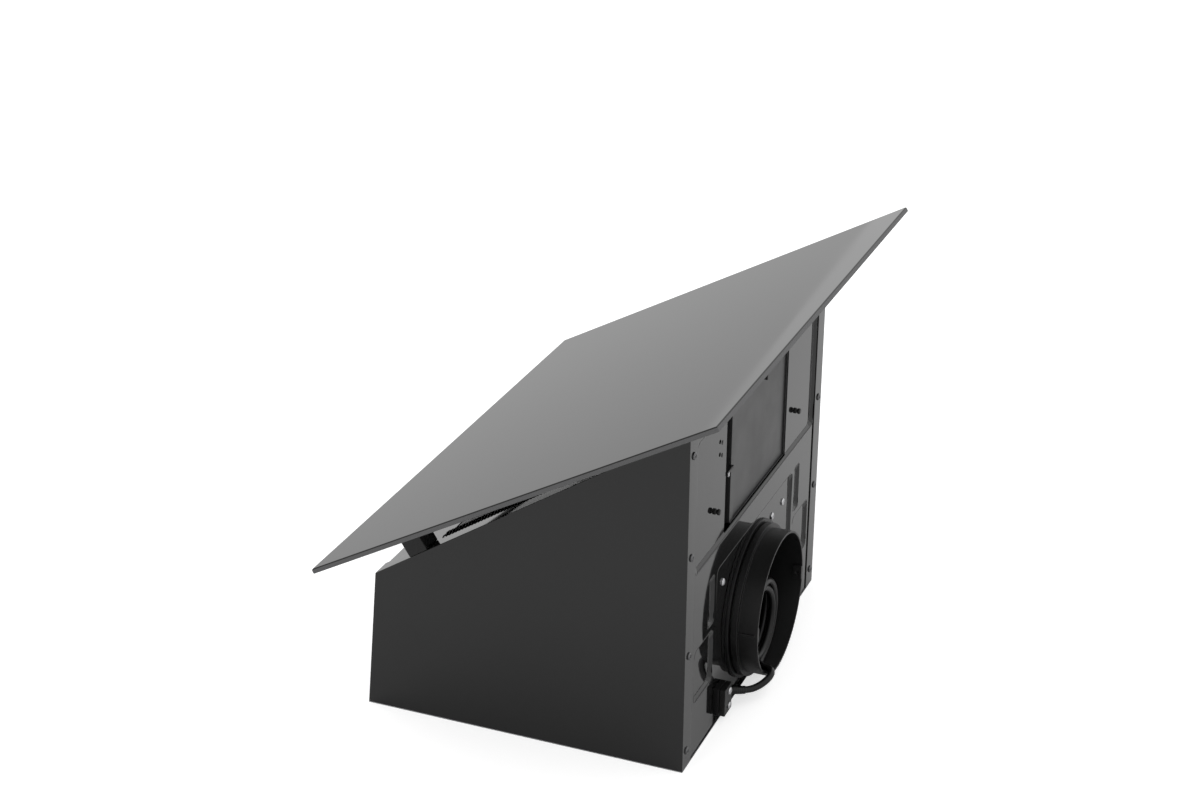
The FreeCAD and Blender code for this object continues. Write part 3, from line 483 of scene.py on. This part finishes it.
def screw_heads(name, finish, lean):
    """Cross-head screws that face the duct side, in place of a node's plain ones."""
    template = crossed_head(SCREW_HEAD_R, SCREW_HEAD_H)
    work = bmesh.new()
    for i, (low, high) in enumerate(islands(name)):
        centre = Vector(((low.x + high.x) / 2, high.y - SCREW_HEAD_H, (low.z + high.z) / 2))
        one = bmesh.new()
        one.from_mesh(template)
        one.transform(Matrix.Translation(centre) @ Matrix.Rotation(-math.pi / 2, 4, "X")
                      @ Matrix.Rotation(math.radians(lean + 37 * i), 4, "Z"))
        loose = bpy.data.meshes.new("one")
        one.to_mesh(loose)
        one.free()
        work.from_mesh(loose)
        shank = centre.y - low.y
        add_lathe(work, centre, Vector((0, -1, 0)),
                  [(0, 0), (SCREW_R, 0), (SCREW_R, shank), (0, shank)], 12)
    mesh = bpy.data.meshes.new(name)
    work.to_mesh(mesh)
    work.free()
    piece = add_piece(name + "_crossed", mesh, [finish], "casing", [name])
    rounded_edges(piece, 0.0001, 40, 1)
    return piece


def build_pegs(finish):
    """Moulded pegs with a groove behind a rounded head."""
    work = bmesh.new()
    for low, high in islands("locating_pegs"):
        r = (high.x - low.x) / 2
        long = high.y - low.y
        base = Vector(((low.x + high.x) / 2, low.y, (low.z + high.z) / 2))
        add_lathe(work, base, Vector((0, 1, 0)), [
            (0, 0), (r, 0), (r, 0.5 * long), (0.72 * r, 0.54 * long), (0.72 * r, 0.66 * long),
            (r, 0.7 * long), (r, 0.88 * long), (0.8 * r, long), (0, long)], 24)
    piece = add_piece("pegs", finished(work, "pegs"), [finish], "casing",
                      ["locating_pegs"])
    rounded_edges(piece, 0.0002)


def build_cover(cover, dark, metal):
    """Grey tray, narrower than the outlet, so that a dark gap shows at its near side, and its clips."""
    work = bmesh.new()
    for low, high in TRAY_BOXES:
        add_box(work, at(*low), at(*high))
    piece = add_piece("outlet_tray", finished(work, "tray"), [cover], "casing",
                      ["outlet_cover"])
    rounded_edges(piece, 0.0002)
    clips = bmesh.new()
    for low, high, material in CLIP_BOXES:
        add_box(clips, at(*low), at(*high), material)
    piece = add_piece("tray_clips", finished(clips, "clips"), [dark, metal], "casing",
                      ["cover_clips"])
    rounded_edges(piece, 0.0003)


def build_press_lines(coat):
    """Rounded rims of the fields stamped into the duct plate."""
    fields = [(-FIELD_HALF, FIELD_HALF, FIELD_LOW, FIELD_HIGH), (-WELL_HALF, WELL_HALF, None, WELL_HIGH)]
    for side in (-1, 1):
        near, far, wide = side * SIDE_NEAR, side * SIDE_FAR, side * WIDE_FAR
        fields.append((min(near, far), max(near, far), SIDE_LOW, WELL_HIGH))
        fields.append((min(near, wide), max(near, wide), WIDE_LOW, WIDE_HIGH))
    for i, (x0, x1, z0, z1) in enumerate(fields):
        open_foot = z0 is None
        foot = WELL_FOOT if open_foot else z0
        r = min(FIELD_R, 0.4 * (min(x1 - x0, z1 - foot) - 8))
        corners = [(x1 - r, z1 - r, 0), (x0 + r, z1 - r, 90)]
        if not open_foot:
            corners += [(x0 + r, z0 + r, 180), (x1 - r, z0 + r, 270)]
        line = [(x1, foot)] if open_foot else []
        for x, z, start in corners:
            for k in range(90 // CORNER_STEP + 1):
                a = math.radians(start + CORNER_STEP * k)
                line.append((x + r * math.cos(a), z + r * math.sin(a)))
        line += [(x0, foot)] if open_foot else [line[0]]
        points = [at(x, RIM_Y, z) for x, z in line]
        add_piece("press_line_%d" % i, tube_mesh("rim", points, [RIM_R] * len(points), 10), [coat],
                  "casing")


def build_plugs(finish):
    """Small moulded plugs in the two tooling holes of the upper field."""
    work = bmesh.new()
    profile = [(0, 0), (0.0021, 0), (0.0021, 0.0005), (0.0012, 0.0008), (0, 0.0008)]
    for z in HOLE_ZS:
        add_lathe(work, at(HOLE_X, HOLE_Y, z), Vector((0, 1, 0)), profile, 20)
    add_piece("hole_plugs", finished(work, "plugs"), [finish], "casing")


def on_slope(x, s, h):
    """Row-frame point from millimetres along the slope from its low corner and above it."""
    c, d = math.cos(SLOPE), math.sin(SLOPE)
    return at(x, SLOPE_FOOT[0] + s * c - h * d, SLOPE_FOOT[1] + s * d + h * c)


def diamond_net(name, x0, x1, s0, s1, height, cell, strand, hole=None):
    """Expanded metal: a net of diamonds, long across the hood, over a height given along the slope.
    A hole in the middle of its low edge is given by its half width and its high edge."""
    work = bmesh.new()
    across = round((x1 - x0) / cell[0])
    along = round((s1 - s0) / cell[1])
    verts = {}

    def knot(i, j):
        if (i, j) not in verts:
            s = s0 + (s1 - s0) * j / (2 * along)
            verts[i, j] = work.verts.new(on_slope(x0 + (x1 - x0) * i / (2 * across), s, height(s)))
        return verts[i, j]

    for i in range(2 * across - 1):
        for j in range(2 * along - 1):
            x = x0 + (x1 - x0) * (i + 1) / (2 * across)
            s = s0 + (s1 - s0) * (j + 1) / (2 * along)
            cut = hole is not None and abs(x) < hole[0] and s < hole[1]
            if (i + j) % 2 == 0 and not cut:
                work.faces.new([knot(i + 1, j), knot(i + 2, j + 1),
                                knot(i + 1, j + 2), knot(i, j + 1)])
    mesh = bpy.data.meshes.new(name)
    work.to_mesh(mesh)
    work.free()
    sheet = bpy.data.objects.new(name, mesh)
    bpy.context.scene.collection.objects.link(sheet)
    frame_work = sheet.modifiers.new("strands", "WIREFRAME")
    frame_work.thickness = strand
    frame_work.use_boundary = True
    result = evaluated_mesh(sheet)
    bpy.data.objects.remove(sheet)
    return result


def build_filter(strand_metal, dark):
    """Expanded metal over the pleated pad, and the intake strips beside the filter."""
    def pleats(s):
        turn = (s - PLEAT_START) / PLEAT_LENGTH % 1
        return PAD_BASE + PLEAT_LOW + PLEAT_RISE * (1 - abs(2 * turn - 1))

    add_piece("filter_net", diamond_net("net", -151, 151, 92, 286, pleats, (11, 5), STRAND, CUP_HOLE),
              [strand_metal], "casing")
    for side in (-1, 1):
        x0, x1 = sorted((side * 167, side * 183.5))
        strip = diamond_net("strip", x0, x1, 72, 258, lambda s: 0.2, (8.25, 4), STRAND)
        add_piece("intake_strip_" + ("right" if side > 0 else "left"), strip, [dark], "casing")


def build_glass(gloss, rim):
    """Pane with a frosted ground rim between two bright arrises."""
    work = joined_flats("glass_panel")
    facing = max((face.normal.copy() for face in work.faces if face.calc_area() > 0.1),
                 key=lambda normal: normal.z)
    for face in work.faces:
        face.material_index = 1 if abs(face.normal.dot(facing)) < 0.5 else 0
    piece = add_piece("glass_pane", finished(work, "glass"), [gloss, rim], "panel",
                      ["glass_panel"])
    rounded_edges(piece, 0.0003, 20)


# ---------------------------------------------------------------- cord
def coil_points():
    points = []
    half = COIL_TURNS / 2
    for i in range(1, COIL_TURNS * POINTS_PER_TURN):
        turn = i / POINTS_PER_TURN
        inward = min(turn, COIL_TURNS - turn)
        radius = COIL_OUTER - COIL_PITCH * inward
        blend = min(max((turn - half + 0.25) / 0.5, 0), 1)
        drop = COIL_LAYER * (3 * blend ** 2 - 2 * blend ** 3)
        angle = 2 * math.pi * turn
        points.append((COIL_X - radius * math.sin(angle), DUCT_Y + COIL_FRONT - drop,
                       COIL_Z - radius * math.cos(angle)))
    return points


def cord_points():
    """From the clamp over the rim of the spigot, through the coil, back to the plug."""
    d = DUCT_Y
    bottom = COIL_Z - COIL_OUTER
    lead = [
        (0.090, d + 0.0025, 0.023), (0.082, d + 0.0025, 0.023), (0.072, d + 0.0125, 0.0185),
        (0.0625, d + 0.021, 0.0165), (0.053, d + 0.028, 0.0185), (0.042, d + 0.033, 0.0225),
        (0.032, d + 0.031, 0.0238), (0.022, d + 0.0215, 0.0195),
        (COIL_X + 0.0085, d + COIL_FRONT + 0.002, bottom), (COIL_X, d + COIL_FRONT, bottom)]
    y = d + COIL_FRONT - COIL_LAYER
    tail = [
        (COIL_X, y, bottom), (COIL_X - 0.013, y, bottom), (-0.019, d - 0.0005, 0.018),
        (-0.028, d - 0.006, 0.0235), (-0.032, d - 0.0155, 0.0285), (-0.032, d - 0.0235, 0.0309),
        (-0.032, d - 0.0315, 0.0309)]
    return lead + coil_points() + tail


def build_plug(jacket, metal):
    """Round moulded plug with a stepped neck, a finger groove and two pins."""
    low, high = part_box("plug")
    end = Vector(((low[0] + high[0]) / 2, high[1], (low[2] + high[2]) / 2))
    back = Vector((0, -1, 0))
    work = bmesh.new()
    add_lathe(work, end, back, [(r / 1000, y / 1000) for r, y in PLUG_BODY], 40)
    for side in (-1, 1):
        base = end + Vector((side * PIN_X, -PLUG_FACE, 0))
        add_lathe(work, base, back, [(r / 1000, y / 1000) for r, y in PLUG_PIN], 20, METAL)
    piece = add_piece("mains_plug", finished(work, "plug"), [jacket, metal], "casing",
                      ["plug"])
    rounded_edges(piece, 0.0003)
    return piece


def build_cord(material):
    data = bpy.data.curves.new("supply_cord", "CURVE")
    data.dimensions = "3D"
    data.bevel_depth = CORD_R
    data.bevel_resolution = 5
    data.use_fill_caps = True
    spline = data.splines.new("NURBS")
    points = cord_points()
    spline.points.add(len(points) - 1)
    for target, point in zip(spline.points, points):
        target.co = (*point, 1)
    spline.order_u = 3
    spline.use_endpoint_u = True
    spline.resolution_u = 6
    cord = bpy.data.objects.new("supply_cord", data)
    bpy.context.scene.collection.objects.link(cord)
    data.materials.append(material)
    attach(cord, "casing")
    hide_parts("cord_lead", "cord_coil", "cord_tail")
    return cord


def build_relief(cord, finish):
    """Tapered ribbed sleeve on the cord where it leaves the clamp."""
    bare = cord.data.copy()
    bare.bevel_depth = 0
    line = bpy.data.objects.new("line", bare)
    bpy.context.scene.collection.objects.link(line)
    mesh = evaluated_mesh(line)
    path = [v.co.copy() for v in mesh.vertices]
    bpy.data.objects.remove(line)
    points, gone = [], 0.0
    for here, ahead in zip(path, path[1:]):
        step = (ahead - here).length
        for k in range(4):
            if gone + step * k / 4 < RELIEF_LEN:
                points.append((here.lerp(ahead, k / 4), gone + step * k / 4))
        gone += step
    radii = []
    for i, (point, along) in enumerate(points):
        taper = RELIEF_R + (CORD_R + RELIEF_WALL - RELIEF_R) * along / RELIEF_LEN
        radii.append(taper - (RIDGE if i % 4 in (2, 3) and 4 < i < len(points) - 4 else 0))
    sleeve = tube_mesh("relief", [point for point, along in points], radii, 24)
    add_piece("strain_relief", sleeve, [finish], "casing")


# ---------------------------------------------------------------- softened nodes
SOFTENED = {
    "duct_spigot": 0.0007, "cable_clamp": 0.0008, "catch_posts": 0.0008, "hinge_bracket_right": 0.0004,
    "hinge_bracket_left": 0.0004, "hinge_strap_right": 0.0004, "hinge_strap_left": 0.0004,
    "hinge_pins": 0.0004, "lamp_bezels": 0.0005, "control_box": 0.001, "control_lid": 0.0008,
    "touch_board": 0.0006, "filter_frame": 0.0007, "latch_cup": 0.0005, "filter_latch": 0.0004,
    "side_panel_right": 0.0004, "side_panel_left": 0.0004, "panel_carrier": 0.0006}


def soft_finish(name):
    """Finish, body and material slot of a node, the last two from the record."""
    finish = next(key for key, names in NODE_FINISH.items() if name in names)
    bodies = frame["record"]["behaviour"]["bodies"]
    body = next(key for key, names in bodies.items() if name in names)
    slot = next(part["material_slot"] for part in frame["record"]["subparts"] if part["node"] == name)
    return finishes[finish], body, slot


# ---------------------------------------------------------------- stage and camera
def stage_material():
    """Pale floor. Seen directly it also glows, so that only the contact shadow stays under white, and
    a little in reflections too."""
    material, tree, shader = new_material("ground")
    grain = noise(tree, 3.0, 2.0)
    tree.links.new(shaded(tree, grain, (FLOOR,) * 3, (FLOOR * 1.01,) * 3), shader.inputs["Base Color"])
    shader.inputs["Roughness"].default_value = 1.0
    shader.inputs["Specular IOR Level"].default_value = 0.0
    shader.inputs["Emission Color"].default_value = (1, 1, 1, 1)
    path = tree.nodes.new("ShaderNodeLightPath")
    glow = tree.nodes.new("ShaderNodeMath")
    glow.operation = "MULTIPLY"
    glow.inputs[1].default_value = FLOOR_GLOW
    seen = tree.nodes.new("ShaderNodeMath")
    seen.operation = "MAXIMUM"
    tree.links.new(path.outputs["Is Camera Ray"], seen.inputs[0])
    tree.links.new(path.outputs["Is Transmission Ray"], seen.inputs[1])
    glint = tree.nodes.new("ShaderNodeMath")
    glint.operation = "MULTIPLY_ADD"
    glint.inputs[1].default_value = FLOOR_GLINT
    tree.links.new(seen.outputs[0], glow.inputs[0])
    tree.links.new(path.outputs["Is Glossy Ray"], glint.inputs[0])
    tree.links.new(glow.outputs[0], glint.inputs[2])
    tree.links.new(glint.outputs[0], shader.inputs["Emission Strength"])
    return material


def build_stage():
    half = FLOOR_HALF
    corners = [(-half, -half, 0), (half, -half, 0), (half, half, 0), (-half, half, 0)]
    mesh = bpy.data.meshes.new("ground")
    mesh.from_pydata(corners, [], [(0, 1, 2, 3)])
    ground = bpy.data.objects.new("ground", mesh)
    bpy.context.scene.collection.objects.link(ground)
    paint(ground, stage_material())
    world = bpy.data.worlds.new("studio")
    bpy.context.scene.world = world
    world.use_nodes = True
    background = world.node_tree.nodes["Background"]
    background.inputs["Color"].default_value = (1, 1, 1, 1)
    background.inputs["Strength"].default_value = 1.0


def build_camera():
    data = bpy.data.cameras.new("camera")
    data.sensor_width = SENSOR
    data.lens = FOCAL_PX * SENSOR / IMAGE_WIDTH
    data.clip_end = VIEW_FAR
    camera = bpy.data.objects.new("camera", data)
    bpy.context.scene.collection.objects.link(camera)
    a, e = AZIMUTH, ELEVATION
    back = Vector((math.sin(a) * math.cos(e), -math.cos(a) * math.cos(e), math.sin(e)))
    level = Vector((0, 0, 1)).cross(back).normalized()
    rise = back.cross(level)
    right = level * math.cos(ROLL) + rise * math.sin(ROLL)
    up = back.cross(right)
    turn = Matrix((right, up, back)).transposed().to_4x4()
    camera.matrix_world = Matrix.Translation(CAMERA_AT) @ turn
    bpy.context.scene.camera = camera


# ---------------------------------------------------------------- assembly
build_camera()
finishes = build_materials()
plug = build_plug(finishes["pvc"], finishes["zinc"])
build_relief(build_cord(finishes["pvc"]), finishes["pvc"])
for finish, names in NODE_FINISH.items():
    for name in names:
        paint(nodes[name], finishes[finish])
for name, width in SOFTENED.items():
    softened(name, width, *soft_finish(name))
screw_heads("side_screws", finishes["screw"], 12)
screw_heads("spigot_screws", finishes["zinc"], 30)
screw_heads("clamp_screws", finishes["zinc"], 5)
build_pegs(finishes["moulded"])
build_cover(finishes["cover"], finishes["moulded"], finishes["zinc"])
build_press_lines(finishes["coat"])
build_plugs(finishes["moulded"])
build_glass(finishes["glass"], finishes["rim"])
build_filter(finishes["filter_rim"], finishes["moulded"])
build_stage()
bpy.context.scene.view_settings.view_transform = "Standard"
